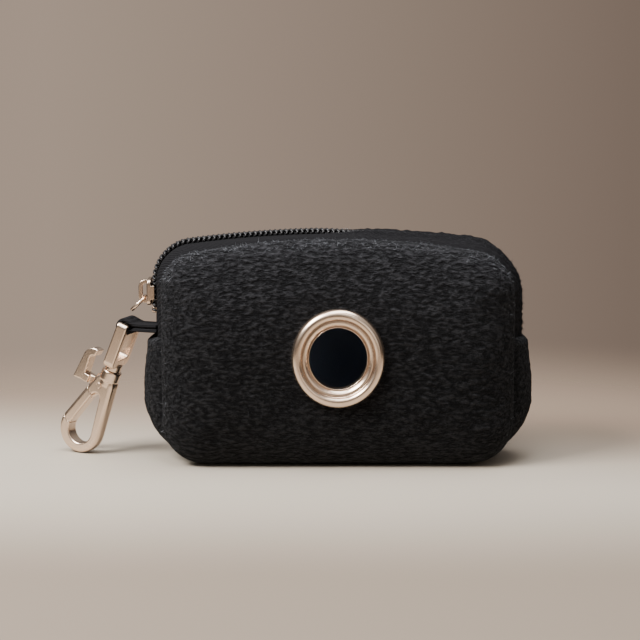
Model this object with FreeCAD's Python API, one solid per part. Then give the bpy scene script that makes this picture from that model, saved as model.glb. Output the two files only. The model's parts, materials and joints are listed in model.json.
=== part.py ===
"""Small zipped treat pouch with a dispensing eyelet and a swivel trigger clasp.

Frame: origin at the middle of the base, +X to the right, -Y out of the eyelet, +Z up, millimetres.
"""
import math
import os

import FreeCAD
import Part

V = FreeCAD.Vector

# ---- driving dimensions: the sewn pouch -------------------------------------
seam_width = 112.0          # across the two side seams
shoulder_height = 68.5      # top of the side seams
arch = 2.5                  # rise of the top edge at its middle
gusset_depth = 22.0         # between the front and the back seam
panel_bulge = 10.0          # how far each panel stands out from its seam
corner_top = 12.0           # seam corner radii
corner_bottom = 18.0
rim_round = 8.5             # rounding of each panel towards its seam
fabric = 1.2                # outer fabric and its backing
lining = 0.4
ply_gap = 0.05              # between two plies that are not glued
gusset_swell = 3.5          # how far the padded gusset stands out past the seams
gusset_pad_width = 17.0     # width of the swollen middle of the gusset
gusset_round = 2.5
gusset_top = 39.5           # height of the gusset's folded ends
binding_width = 2.0         # seam binding inside the pouch
binding_ply = 0.9

# ---- driving dimensions: the zip ---------------------------------------------
tape_out = 0.5              # tape's outer face, past the seam line
tape_in = 0.7               # tape's inner face, inside the seam line
coil_out = 1.7              # coil's outer face, past the seam line
coil_in = 0.3
coil_half_width = 2.2
coil_parting = 0.1          # half of the gap between the closed coils
throat_spread = 1.5         # how far each coil end is spread round the slider's neck
stop_height = 46.3          # underside of the top stops
stop_length = 2.0
throat_top = 54.2           # where the coils close
coil_right_end = 42.5       # where the bottom stop holds the coils
slider_gap = 0.3            # between the slider and the chain
slider_length = 8.2
slider_half_width = 4.4
slider_plate = 1.2
slider_lip = 0.7
slider_travel = 2.5
slider_corner = 1.6         # rounding of the slider's corners
slider_bevel = 0.3
lip_inset = 2.0             # how far the side lips stop short of the slider's ends
under_inset = 0.6           # how much narrower the inner plate is, on each hand
neck_inset = 0.3
neck_round = 0.5
stop_bite = 0.4             # how far a stop reaches in past the tape
coil_squeeze = 0.2          # how much narrower a coil is where it is spread
coil_merge = 0.5            # overlap of the spread end with the closed chain
weld = 0.2                  # overlap between pieces that are cast as one
neck_half_width = 1.1
neck_length = 1.6
bail_height = 2.8           # outside height of the bail over the slider's plate
bail_wire = 1.2
bail_width = 1.8
bail_length = 7.4
bail_flat = 0.5             # straight run left at the bail's bends
ring_play = 0.25            # between the ring's wire and the bail's foot
ring_wire = 1.1             # diameter of the pull ring's wire
ring_mean_radius = 2.9
ring_lean = 45.0            # degrees from hanging, at rest

# ---- driving dimensions: the eyelet ------------------------------------------
eyelet_height = 35.0
eyelet_bore = 8.75          # inner radius
eyelet_wall = 0.85          # barrel's wall
eyelet_flange = 5.45        # from the bore to the rim's outer edge
eyelet_band = 2.0           # width of the rolled outer band
band_height = 1.3
crest_height = 2.6          # raised inner band
lip_height = 1.9
lip_width = 0.45
mouth_height = 1.1          # where the straight bore starts
eyelet_fit = 0.1            # round the barrel
washer_inset = 0.8          # how far the washer's edge lies inside the rim
washer_thickness = 0.8
washer_bevel = 0.6
roll_width = 1.1            # clinched roll past the barrel
roll_thickness = 0.6

# ---- driving dimensions: webbing loop and clasp ------------------------------
web_thickness = 1.3
web_width = 7.0
loop_fit = 0.3
loop_reach = 9.2            # crossbar's centre line, out from the side seam
loop_root = 12.0            # run of the webbing in past the crossbar
loop_height = 41.7
clasp_yaw = -20.0           # crossbar's turn about the vertical, degrees
hook_swivel = -8.0          # hook's turn about the clasp's own axis at rest
crossbar_radius = 1.3
eye_leg = 2.0
eye_depth = 3.6
eye_side_gap = 0.35         # between the webbing's edge and a leg
eye_window = 11.1           # crossbar's centre to the window's lower edge
eye_foot = 2.8              # height of the bridge under the window
eye_flange_radius = 2.5
eye_corner = 1.2            # roundings of the stirrup
eye_shoulder = 2.2
eye_edge = 0.45
window_corner = 1.0
flange_sink = 0.6           # overlap of the flange with the bridge
post_radius = 1.5
post_fit = 0.05
head_radius = 2.15
head_height = 0.9
collar_radius = 3.1
collar_top = 15.7           # distances below the crossbar's centre
collar_bottom = 19.2
head_pocket_top = 17.3
head_play = 0.15
collar_round = 0.45
neck_step = 0.5             # neck's radius less than the collar's
hook_thickness = 4.4
boss_radius = 3.8
boss_x = -0.6
boss_down = 20.9
bow_radius = 7.5            # outside of the hook's round end
bow_x = -2.9
bow_down = 38.1
bow_hole_radius = 4.3
bow_hole_x = -2.5
crotch_radius = 1.6
crotch_x = -1.3
crotch_down = 26.0
hook_round = 1.2
hole_round = 0.4
pivot_x = -1.5
pivot_down = 21.6
pin_radius = 0.8
pin_fit = 0.05
pin_head = 0.15             # how far the pin's heads stand out
hub_radius = 1.6
tongue = 1.8                # gate's thickness inside the fork
tongue_gap = 0.15
tongue_reach = 4.9          # tongue's far end below the pin
tongue_end_x = -4.1
tongue_end_radius = 1.1
slot_down = 20.0            # upper end of the fork's slot
slot_past = 1.5             # how far the slot runs past the crotch
knuckle_radius = 4.3        # fork's round end about the pin
nose_radius = 16.9          # nose's seam about the pin
seam_gap = 0.15
lever_reach = 10.8          # thumb bar's outer face, from the clasp's axis
lever_width = 3.8
lever_bar = 2.5
lever_top = 11.6
lever_arm = 2.4             # height of the arm
lever_curl = 1.1            # inner radius of the curled top
lever_tip = 0.9
lever_round = 0.35
tip_drop = 0.3
heel_point = 0.9            # how far the heel stands out past the bar
heel_drop = 0.4
arm_drop = 0.2              # arm's middle below the pin
arm_clear = 0.4             # between the wide arm and the fork's knuckle
spring_ply = 0.25
spring_width = 1.5
spring_inset = 0.9

# ---- sizes that follow -------------------------------------------------------
half_gusset = gusset_depth / 2
face_depth = half_gusset + panel_bulge
side = seam_width / 2
loop_x = -side - loop_reach
eyelet_barrel = eyelet_bore + eyelet_wall
eyelet_rim = eyelet_bore + eyelet_flange
washer_rim = eyelet_rim - washer_inset
roll_rim = eyelet_barrel + roll_width
spread_near = -coil_parting - throat_spread
spread_far = spread_near + coil_parting - coil_half_width + coil_squeeze
all_over = 400.0
FRONT = -1
BACK = 1


def box(x0, x1, y0, y1, z0, z1):
    """Box between two corners."""
    return Part.makeBox(x1 - x0, y1 - y0, z1 - z0, V(x0, y0, z0))


def plate(outline, y0, y1):
    """Closed wire in a plane y = const, moved to y0 and extruded to y1."""
    face = Part.Face(outline)
    face.translate(V(0, y0 - outline.BoundBox.YMin, 0))
    return face.extrude(V(0, y1 - y0, 0))


def across(shape, low, high, upper):
    """Edges of a prism along Y that lie between two heights, above or below its middle."""
    middle = (low + high) / 2
    found = []
    for edge in shape.Edges:
        bounds = edge.BoundBox
        straight = bounds.XLength < 1e-6 and bounds.ZLength < 1e-6
        if straight and (bounds.ZMin > middle) == upper:
            found.append(edge)
    return found


def edges_at(shape, y):
    """Edges that lie in the plane at y."""
    found = []
    for edge in shape.Edges:
        bounds = edge.BoundBox
        if abs(bounds.YMin - y) < 1e-5 and abs(bounds.YMax - y) < 1e-5:
            found.append(edge)
    return found


def form(grow, y0, y1, floor=0.0, round_front=0.0, round_back=0.0):
    """Seam outline grown by a distance, between two depths: arched top, round corners."""
    half = side + grow
    shoulder = shoulder_height + grow
    corners = [V(-half, 0, floor), V(half, 0, floor), V(half, 0, shoulder), V(-half, 0, shoulder)]
    crown = Part.Arc(corners[2], V(0, 0, shoulder + arch), corners[3]).toShape()
    sides = [Part.makeLine(corners[0], corners[1]), Part.makeLine(corners[1], corners[2]), crown]
    sides.append(Part.makeLine(corners[3], corners[0]))
    solid = plate(Part.Wire(sides), y0, y1)
    solid = solid.makeFillet(corner_bottom + grow, across(solid, floor, shoulder, False))
    solid = solid.makeFillet(corner_top + grow, across(solid, floor, shoulder, True))
    if round_front:
        solid = solid.makeFillet(round_front, edges_at(solid, y0))
    if round_back:
        solid = solid.makeFillet(round_back, edges_at(solid, y1))
    return solid


def tray(hand, outside, ply):
    """Dished panel on one hand of the pouch: a ply that starts at a depth inside the outer face."""
    reach = 1.0
    rim = rim_round - outside
    near = face_depth - outside
    if hand == FRONT:
        outer = form(-outside, -near, -half_gusset, outside, rim)
        inner = form(-outside - ply, ply - near, reach - half_gusset, outside + ply, rim - ply)
    else:
        outer = form(-outside, half_gusset, near, outside, 0.0, rim)
        inner = form(-outside - ply, half_gusset - reach, near - ply, outside + ply, 0.0, rim - ply)
    return outer.cut(inner)


def ring_band(outside, inside, y0, y1):
    """Band along the whole seam outline, between two offsets from the seam line."""
    past = 1.0
    outer = form(outside, y0, y1, max(0.0, -outside))
    inner = form(inside, y0 - past, y1 + past, max(0.0, -inside))
    return outer.cut(inner)


def handed(shape, hand):
    """The shape as it is for the front, mirrored for the back."""
    return shape if hand == FRONT else shape.mirror(V(0, 0, 0), V(0, 1, 0))


# ---- shell, lining and binding ----------------------------------------------
def eyelet_cut():
    """Hole through the front panel and its lining, round the eyelet's barrel."""
    start = V(0, -face_depth - fabric, eyelet_height)
    depth = 4 * (fabric + lining)
    return Part.makeCylinder(eyelet_barrel + eyelet_fit, depth, start, V(0, 1, 0))


def bottom_gusset():
    """Padded strip under the pouch and up both sides, to the ends of the zip."""
    pad = gusset_pad_width / 2
    seam_strip = form(0.0, -half_gusset, half_gusset)
    swollen = form(gusset_swell, -pad, pad, 0.0, gusset_round, gusset_round)
    shell = seam_strip.fuse(swollen)
    shell = shell.cut(form(-fabric, -half_gusset - 1, half_gusset + 1, fabric))
    shell = shell.cut(form(gusset_swell - fabric, fabric - pad, pad - fabric, fabric))
    return shell.common(box(-all_over, all_over, -all_over, all_over, -1, gusset_top))


def gusset_lining():
    """Lining of the gusset, open over the zip."""
    outside = -fabric - ply_gap
    band = ring_band(outside, outside - lining, -half_gusset, half_gusset)
    return band.common(box(-all_over, all_over, -all_over, all_over, 0, gusset_top))


def seam_binding(hand):
    """Bound seam allowance inside the pouch."""
    outside = -fabric - lining - 2 * ply_gap
    half = binding_width / 2
    return handed(ring_band(outside, outside - binding_ply, -half_gusset - half, half - half_gusset), hand)


# ---- zip ---------------------------------------------------------------------
def zip_coil(hand):
    """One half of the chain: closed over the top, spread round the neck at its left end."""
    band = ring_band(coil_out, -coil_in, -coil_half_width, -coil_parting)
    left = box(-all_over, 0, -all_over, all_over, throat_top, all_over)
    right = box(0, all_over, -all_over, all_over, coil_right_end, all_over)
    chain = band.common(left.fuse(right))
    spread = box(-side - coil_out, coil_in - side, spread_far, spread_near,
                 stop_height + stop_length, throat_top + coil_merge)
    return handed(chain.fuse(spread).removeSplitter(), hand)


def top_stop(hand):
    """Clip that ends one half of the chain, beside the slider when the zip is closed."""
    clip = box(-side - coil_out, tape_in + stop_bite - side, spread_far, spread_near,
               stop_height, stop_height + stop_length)
    return handed(clip, hand)


def bottom_stop():
    """Clip across both halves of the chain at the right end."""
    return box(side - tape_in - stop_bite, side + coil_out, -coil_half_width, coil_half_width,
               coil_right_end - stop_length, coil_right_end)


def zip_tape(hand, fitted):
    """Woven tape between a panel's seam and the chain."""
    band = handed(ring_band(tape_out, -tape_in, -half_gusset, -coil_half_width), hand)
    band = band.common(box(-all_over, all_over, -all_over, all_over, gusset_top, all_over))
    for other in fitted:
        band = band.cut(other)
    return band


def end_tab(hand_x, low, high):
    """Fabric tab that closes the gap between the tapes past one end of the chain."""
    x0 = side - tape_in
    x1 = side + tape_out
    tab = box(x0, x1, -coil_half_width, coil_half_width, low, high)
    return tab if hand_x > 0 else tab.mirror(V(0, 0, 0), V(1, 0, 0))


slider_low = stop_height + stop_length + slider_gap
slider_high = slider_low + slider_length
slider_middle = (slider_low + slider_high) / 2
plate_inner = -side - coil_out - slider_gap
plate_outer = plate_inner - slider_plate
under_outer = tape_in + slider_gap - side
under_inner = under_outer + slider_plate


def slider_body():
    """Two plates, side lips and the neck that parts the coils."""
    half = slider_half_width
    upper = box(plate_outer, plate_inner, -half, half, slider_low, slider_high)
    corner = [e for e in upper.Edges if e.BoundBox.XLength > slider_plate / 2 and e.BoundBox.YLength < 1e-6]
    upper = upper.makeFillet(slider_corner, [e for e in corner if e.BoundBox.ZLength < 1e-6])
    upper = upper.makeChamfer(slider_bevel, [e for e in upper.Edges if abs(e.BoundBox.XMax - plate_outer) < 1e-6])
    lip_depth = plate_inner + coil_out - tape_out
    body = upper
    for hand in (-1, 1):
        y0 = min(hand * half, hand * (half - slider_lip))
        body = body.fuse(box(plate_inner - weld, lip_depth, y0, y0 + slider_lip,
                             slider_low + lip_inset, slider_high - lip_inset))
    under = box(under_outer, under_inner, under_inset - half, half - under_inset, slider_low, slider_high)
    under = under.makeFillet(slider_corner, [e for e in under.Edges if e.BoundBox.XLength > slider_plate / 2])
    neck_low = slider_low + neck_inset
    neck = box(plate_inner - weld, under_outer + weld, -neck_half_width, neck_half_width,
               neck_low, neck_low + neck_length)
    neck = neck.makeFillet(neck_round, [e for e in neck.Edges if e.BoundBox.XLength > 1])
    return body.fuse(under).fuse(neck).removeSplitter()


def slider_bail():
    """Arched bridge on the slider that holds the ring."""
    low = slider_middle - bail_length / 2
    high = slider_middle + bail_length / 2
    out = plate_outer - bail_height
    block = box(out, plate_outer, -bail_width / 2, bail_width / 2, low, high)
    outer = [e for e in block.Edges if e.BoundBox.YLength > 1 and abs(e.BoundBox.XMin - out) < 1e-6]
    block = block.makeFillet(bail_height - bail_flat, outer)
    gap = box(out + bail_wire, plate_outer + 1, -bail_width, bail_width, low + bail_wire, high - bail_wire)
    inner = [e for e in gap.Edges if e.BoundBox.YLength > 1 and abs(e.BoundBox.XMin - out - bail_wire) < 1e-6]
    gap = gap.makeFillet(bail_height - bail_wire - bail_flat, inner)
    return block.cut(gap)


ring_axis_x = plate_outer - (bail_height - bail_wire) / 2
ring_axis_z = slider_middle - bail_length / 2 + bail_wire + ring_wire / 2 + ring_play


def pull_ring():
    """Round ring through the bail, leaning out on the clasp's loop."""
    lean = math.radians(ring_lean)
    along = V(-math.sin(lean), 0, -math.cos(lean))
    centre = V(ring_axis_x, 0, ring_axis_z) + along * ring_mean_radius
    normal = along.cross(V(0, 1, 0))
    return Part.makeTorus(ring_mean_radius, ring_wire / 2, centre, normal)


# ---- eyelet ------------------------------------------------------------------
stack = fabric + lining + ply_gap


def turned(points):
    """Solid of revolution about the eyelet's axis; a triple is an arc's far point and end."""
    def place(radius, height):
        return V(radius, -face_depth - height, eyelet_height)

    edges = []
    here = place(*points[0])
    for point in points[1:] + [points[0]]:
        if len(point) == 4:
            end = place(point[2], point[3])
            edges.append(Part.Arc(here, place(point[0], point[1]), end).toShape())
        else:
            end = place(*point[:2])
            edges.append(Part.makeLine(here, end))
        here = end
    face = Part.Face(Part.Wire(edges))
    return face.revolve(V(0, 0, eyelet_height), V(0, 1, 0), 360)


def eyelet():
    """Pressed ring: rolled outer band, groove, raised inner band, lip and clinched barrel."""
    washer_under = -stack - washer_thickness
    outer_band = eyelet_rim - eyelet_band
    inner_crest = (outer_band + eyelet_bore) / 2
    return turned([
        (eyelet_barrel, 0.0),
        (eyelet_rim, 0.0),
        (eyelet_rim - eyelet_band / 4, band_height, outer_band, band_height),
        (inner_crest, crest_height, eyelet_bore + lip_width, lip_height),
        (eyelet_bore + lip_width / 4, lip_height - lip_width / 2, eyelet_bore, mouth_height),
        (eyelet_bore, washer_under - roll_thickness),
        (roll_rim, washer_under - roll_thickness),
        (roll_rim, washer_under),
        (eyelet_barrel, washer_under),
    ])


def eyelet_washer():
    """Flat washer behind the lining, under the rolled end of the barrel."""
    bore = eyelet_barrel + eyelet_fit
    return turned([
        (bore, -stack),
        (washer_rim, -stack),
        (washer_rim, -stack - washer_thickness / 2),
        (washer_rim - washer_bevel, -stack - washer_thickness),
        (bore, -stack - washer_thickness),
    ])


# ---- clasp, modelled hanging from the crossbar's centre ----------------------
def hull(x_a, down_a, radius_a, x_b, down_b, radius_b):
    """Wire round two circles and the two lines that touch both."""
    a = V(x_a, 0, -down_a)
    b = V(x_b, 0, -down_b)
    run = b - a
    heading = math.atan2(run.z, run.x)
    spread = math.acos((radius_a - radius_b) / run.Length)

    def rim(centre, radius, angle):
        return centre + V(math.cos(angle), 0, math.sin(angle)) * radius

    left_a = rim(a, radius_a, heading + spread)
    left_b = rim(b, radius_b, heading + spread)
    right_a = rim(a, radius_a, heading - spread)
    right_b = rim(b, radius_b, heading - spread)
    edges = [
        Part.makeLine(left_a, left_b),
        Part.Arc(left_b, rim(b, radius_b, heading), right_b).toShape(),
        Part.makeLine(right_b, right_a),
        Part.Arc(right_a, rim(a, radius_a, heading + math.pi), left_a).toShape(),
    ]
    return Part.Wire(edges)


def disc(x, down, radius, y0, y1):
    """Cylinder across the clasp."""
    return Part.makeCylinder(radius, y1 - y0, V(x, y0, -down), V(0, 1, 0))


def polygon(points, y0, y1):
    """Prism across the clasp from corners given as (across, down)."""
    corners = [V(x, 0, -down) for x, down in points]
    return plate(Part.makePolygon(corners + corners[:1]), y0, y1)


half_hook = hook_thickness / 2


def hook_frame():
    """Tear-shaped ring of the hook with its boss, before the gate is parted from it."""
    outline = hull(boss_x, boss_down, boss_radius, bow_x, bow_down, bow_radius)
    solid = plate(outline, -half_hook, half_hook)
    rims = edges_at(solid, -half_hook) + edges_at(solid, half_hook)
    solid = solid.makeFillet(hook_round, rims)
    window = hull(crotch_x, crotch_down, crotch_radius, bow_hole_x, bow_down, bow_hole_radius)
    cut = solid.cut(plate(window, -half_hook - 1, half_hook + 1))
    inner = []
    for edge in edges_at(cut, -half_hook) + edges_at(cut, half_hook):
        bounds = edge.BoundBox
        if bounds.XMin > bow_hole_x - bow_hole_radius - 0.1 and bounds.XMax < bow_hole_x + bow_hole_radius + 0.1:
            if bounds.ZMin > -bow_down - bow_hole_radius - 0.1 and bounds.ZMax < crotch_radius + 0.1 - crotch_down:
                inner.append(edge)
    return cut.makeFillet(hole_round, inner)


def gate_zone(inner_radius, outer_radius):
    """Where the gate's limb lies: left of the window's middle, between two radii about the pin."""
    wide = half_hook + 1
    ring = disc(pivot_x, pivot_down, outer_radius, -wide, wide)
    ring = ring.cut(disc(pivot_x, pivot_down, inner_radius, -wide - 1, wide + 1))
    left = polygon([(pivot_x, pivot_down - 1), (crotch_x, crotch_down), (bow_hole_x, bow_down),
                    (bow_hole_x - 20, bow_down + 10), (bow_hole_x - 20, pivot_down - 1)], -wide, wide)
    return ring.common(left)


def hook_body(frame):
    """Hook, fork for the gate, and the collar that turns on the eye's post."""
    body = frame.cut(gate_zone(knuckle_radius, nose_radius + seam_gap))
    collar = Part.makeCylinder(collar_radius, collar_bottom - collar_top, V(0, 0, -collar_bottom))
    rims = [e for e in collar.Edges if e.BoundBox.ZLength < 1e-6 and e.BoundBox.XLength > 1]
    collar = collar.makeFillet(collar_round, rims)
    neck = Part.makeCylinder(collar_radius - neck_step, boss_down - collar_bottom + 1, V(0, 0, -boss_down))
    body = body.fuse(collar).fuse(neck)
    half_slot = tongue / 2 + tongue_gap
    back_wall = pivot_x + hub_radius + tongue_gap
    slot = box(-all_over / 10, back_wall, -half_slot, half_slot, -crotch_down - slot_past, -slot_down)
    body = body.cut(slot)
    body = body.cut(disc(pivot_x, pivot_down, pin_radius, -half_hook - 1, half_hook + 1))
    bore = post_radius + post_fit
    body = body.cut(Part.makeCylinder(bore, head_pocket_top - collar_top + 1, V(0, 0, -head_pocket_top)))
    pocket = head_height + 2 * head_play
    pocket_radius = head_radius + head_play
    body = body.cut(Part.makeCylinder(pocket_radius, pocket, V(0, 0, -head_pocket_top - pocket)))
    return body


def gate(frame):
    """Gate limb, tongue, hub and thumb lever in one piece."""
    limb = frame.common(gate_zone(knuckle_radius + seam_gap, nose_radius))
    half = tongue / 2
    tongue_plate = plate(hull(pivot_x, pivot_down, hub_radius, tongue_end_x, pivot_down + tongue_reach,
                              tongue_end_radius), -half, half)
    arm_x = -lever_reach + lever_bar
    arm_down = pivot_down + arm_drop
    arm = plate(hull(pivot_x, pivot_down, hub_radius, arm_x, arm_down, lever_arm / 2), -half, half)
    wide = lever_width / 2
    arm_end = pivot_x - knuckle_radius - arm_clear
    arm_wide = box(arm_x, arm_end, -wide, wide, -arm_down - lever_arm / 2, lever_arm / 2 - arm_down)
    bar = plate(lever_shape(arm_down), -wide, wide)
    rims = edges_at(bar, -wide) + edges_at(bar, wide)
    bar = bar.makeFillet(lever_round, rims)
    solid = limb.fuse(tongue_plate).fuse(arm).fuse(arm_wide).fuse(bar)
    return solid.cut(disc(pivot_x, pivot_down, pin_radius + pin_fit, -wide - 1, wide + 1)).removeSplitter()


def lever_shape(arm_down):
    """Thumb bar: a straight bar with a pointed heel and a top that curls inwards."""
    outer = -lever_reach
    inner = outer + lever_bar
    curl = lever_curl
    top = lever_top
    under = arm_down + lever_arm / 2
    heel = V(outer - heel_point, 0, -under - heel_drop)
    foot = V(inner + arm_clear, 0, -under)
    rise = V(outer, 0, -(top + curl + lever_bar))
    crown = V(outer + curl + lever_bar, 0, -top)
    tip = V(outer + curl + lever_bar + lever_tip, 0, -(top + tip_drop))
    tip_under = V(outer + curl + lever_bar + lever_tip / 2, 0, -(top + lever_bar - tip_drop))
    crown_under = V(outer + curl + lever_bar, 0, -(top + lever_bar))
    rise_inner = V(inner, 0, -(top + lever_bar + curl))
    corner = V(outer + curl + lever_bar, 0, -(top + curl + lever_bar))
    diagonal = V(-1, 0, 1).normalize()
    edges = [
        Part.makeLine(heel, rise),
        Part.Arc(rise, corner + diagonal * (curl + lever_bar), crown).toShape(),
        Part.makeLine(crown, tip),
        Part.makeLine(tip, tip_under),
        Part.makeLine(tip_under, crown_under),
        Part.Arc(crown_under, corner + diagonal * curl, rise_inner).toShape(),
        Part.makeLine(rise_inner, foot),
        Part.makeLine(foot, heel),
    ]
    return Part.Wire(edges)


def gate_pin():
    """Rivet that the gate turns on."""
    reach = half_hook + pin_head
    return disc(pivot_x, pivot_down, pin_radius, -reach, reach)


def gate_spring():
    """Leaf in the back of the fork's slot that closes the gate."""
    back = pivot_x + hub_radius + tongue_gap
    half = spring_width / 2
    return box(back - spring_ply, back, -half, half, spring_inset - crotch_down, -pivot_down - spring_inset)


def swivel_eye():
    """Stirrup with a round crossbar, a flange and a post with a peened head."""
    inner = web_width / 2 + eye_side_gap
    outer = inner + eye_leg
    depth = eye_depth / 2
    foot = eye_window + eye_foot
    block = box(-depth, depth, -outer, outer, -foot, crossbar_radius)
    upright = [e for e in block.Edges if e.BoundBox.XLength > 1 and e.BoundBox.ZMax > 0]
    block = block.makeFillet(eye_corner, upright)
    lower = [e for e in block.Edges if e.BoundBox.XLength > 1 and e.BoundBox.YLength < 1e-6]
    block = block.makeFillet(eye_shoulder, [e for e in lower if e.BoundBox.ZMax < -foot + 0.1])
    faces = []
    for edge in block.Edges:
        bounds = edge.BoundBox
        if bounds.XLength < 1e-6:
            faces.append(edge)
    block = block.makeFillet(eye_edge, faces)
    window = box(-depth - 1, depth + 1, -inner, inner, -eye_window, crossbar_radius + 1)
    window = window.makeFillet(window_corner, [e for e in window.Edges if e.BoundBox.XLength > 1 and e.BoundBox.ZMax < 0])
    eye = block.cut(window)
    eye = eye.fuse(Part.makeCylinder(crossbar_radius, 2 * inner + eye_leg, V(0, -inner - eye_leg / 2, 0), V(0, 1, 0)))
    flange_end = collar_top - head_play
    eye = eye.fuse(Part.makeCylinder(eye_flange_radius, flange_end - foot + flange_sink, V(0, 0, -flange_end)))
    head_end = head_pocket_top + head_play + head_height
    eye = eye.fuse(Part.makeCylinder(post_radius, head_end - foot, V(0, 0, -head_end)))
    return eye.fuse(Part.makeCylinder(head_radius, head_height, V(0, 0, -head_end))).removeSplitter()


def side_loop(lean_free, fitted):
    """Webbing folded round the crossbar and sewn over the end of the zip."""
    inner = crossbar_radius + loop_fit
    outer = inner + web_thickness
    half = web_width / 2
    solid = disc(0, 0, outer, -half, half).fuse(box(0, loop_root, -half, half, -outer, outer))
    hollow = disc(0, 0, inner, -half - 1, half + 1).fuse(box(0, loop_root + 1, -half - 1, half + 1, -inner, inner))
    solid = solid.cut(hollow)
    solid.Placement = lean_free
    inside = box(-side - tape_out, all_over, -all_over, all_over, -1, all_over)
    solid = solid.cut(inside)
    for other in fitted:
        solid = solid.cut(other)
    return solid


# ---- where the clasp hangs ---------------------------------------------------
def clasp_place(lean, swivel=0.0):
    """From the clasp's own frame to the pouch's: swivel, lean outwards, yaw, then the loop."""
    turn = FreeCAD.Rotation(V(0, 0, 1), clasp_yaw)
    turn = turn.multiply(FreeCAD.Rotation(V(0, 1, 0), lean))
    turn = turn.multiply(FreeCAD.Rotation(V(0, 0, 1), swivel))
    return FreeCAD.Placement(V(loop_x, 0, loop_height), turn)


def lean_to_floor(hook):
    """Lean at which the hook's lowest point just clears the floor."""
    clear = 0.02
    low, high = 1.0, 60.0
    for _ in range(18):
        lean = (low + high) / 2
        trial = hook.copy()
        trial.Placement = clasp_place(lean, hook_swivel)
        if trial.optimalBoundingBox(False, False).ZMin < clear:
            low = lean
        else:
            high = lean
    return high


def placed(shape, placement):
    """The shape moved to a placement, with its own coordinates baked in."""
    moved = shape.copy()
    moved.Placement = placement.multiply(moved.Placement)
    return moved


def build():
    """All sub-parts by node name."""
    parts = {}
    hole = eyelet_cut()
    parts["front_panel"] = tray(FRONT, 0.0, fabric).cut(hole)
    parts["back_panel"] = tray(BACK, 0.0, fabric)
    parts["bottom_gusset"] = bottom_gusset()
    parts["front_lining"] = tray(FRONT, fabric + ply_gap, lining).cut(hole)
    parts["back_lining"] = tray(BACK, fabric + ply_gap, lining)
    parts["gusset_lining"] = gusset_lining()
    parts["eyelet"] = eyelet()
    parts["eyelet_washer"] = eyelet_washer()
    parts["zip_bottom_stop"] = bottom_stop()
    parts["zip_end_tab_left"] = end_tab(-1, gusset_top, stop_height)
    parts["zip_end_tab_right"] = end_tab(1, gusset_top, coil_right_end - stop_length)
    for name, hand in (("front", FRONT), ("back", BACK)):
        parts["seam_binding_" + name] = seam_binding(hand)
        coil = zip_coil(hand)
        stop = top_stop(hand)
        parts["zip_coil_" + name] = coil
        parts["zip_top_stop_" + name] = stop
        parts["zip_tape_" + name] = zip_tape(hand, [coil, stop])
    parts["slider_body"] = slider_body()
    parts["slider_bail"] = slider_bail()
    parts["pull_ring"] = pull_ring()

    frame = hook_frame()
    hook = hook_body(frame)
    lean = lean_to_floor(hook)
    eye_place = clasp_place(lean)
    hook_place = clasp_place(lean, hook_swivel)
    parts["swivel_eye"] = placed(swivel_eye(), eye_place)
    parts["hook_body"] = placed(hook, hook_place)
    parts["gate"] = placed(gate(frame), hook_place)
    parts["gate_pin"] = placed(gate_pin(), hook_place)
    parts["gate_spring"] = placed(gate_spring(), hook_place)
    parts["side_loop"] = side_loop(clasp_place(0.0), [parts["bottom_gusset"]])
    print("lean", round(lean, 4))
    return parts


def main():
    """Write one file per sub-part."""
    os.makedirs("parts", exist_ok=True)
    for name, shape in build().items():
        solids = shape.Solids
        print(name, "solids", len(solids), "volume", round(shape.Volume, 2), "valid", shape.isValid())
        body = solids[0] if len(solids) == 1 else Part.makeCompound(solids)
        body.exportStep(os.path.join("parts", name + ".step"))


main()
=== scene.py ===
"""Treat pouch with an eyelet and a swivel clasp: fabric, zip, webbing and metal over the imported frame."""
import json
import math

import bpy
import numpy as np
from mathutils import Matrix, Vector


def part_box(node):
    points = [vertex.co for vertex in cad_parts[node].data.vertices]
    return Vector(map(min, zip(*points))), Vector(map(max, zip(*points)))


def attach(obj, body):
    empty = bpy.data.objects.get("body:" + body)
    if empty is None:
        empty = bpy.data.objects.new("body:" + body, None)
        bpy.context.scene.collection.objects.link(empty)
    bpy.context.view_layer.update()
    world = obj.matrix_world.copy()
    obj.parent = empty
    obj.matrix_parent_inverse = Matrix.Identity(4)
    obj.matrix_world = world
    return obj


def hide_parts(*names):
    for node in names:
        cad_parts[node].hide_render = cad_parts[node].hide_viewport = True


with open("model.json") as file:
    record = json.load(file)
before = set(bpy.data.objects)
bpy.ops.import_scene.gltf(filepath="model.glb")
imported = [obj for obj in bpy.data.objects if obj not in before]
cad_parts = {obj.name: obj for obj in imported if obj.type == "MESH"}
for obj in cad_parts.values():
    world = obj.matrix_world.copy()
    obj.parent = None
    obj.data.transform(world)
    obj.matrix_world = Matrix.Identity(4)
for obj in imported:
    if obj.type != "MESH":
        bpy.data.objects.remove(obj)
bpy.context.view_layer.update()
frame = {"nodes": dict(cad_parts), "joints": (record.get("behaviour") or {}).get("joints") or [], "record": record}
record = frame["record"]
MM = 0.001
TURN = 2 * math.pi

# ---- sizes taken from the frame ----------------------------------------------
panel_low, panel_high = (np.array(corner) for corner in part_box("front_panel"))
gusset_low, gusset_high = (np.array(corner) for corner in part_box("bottom_gusset"))
seam_half = float(panel_high[0])
seam_top = float(panel_high[2]) - 0.2 * MM
seam_y = float(gusset_high[1])
panel_depth = -float(panel_low[1]) - seam_y
zip_end = float(gusset_high[2])
zip_stop = float(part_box("zip_top_stop_front")[0][2])
mounts = {mount["name"]: mount for mount in record["mounts"]}
joints = {joint["name"]: joint for joint in frame["joints"]}
bore = mounts["eyelet_mouth"]["dims"]["r_mm"] * MM
eyelet_z = float(mounts["eyelet_mouth"]["pos_m"][2])
eyelet_rim = float(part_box("eyelet")[1][0])
panel_front = -seam_y - panel_depth

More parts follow.
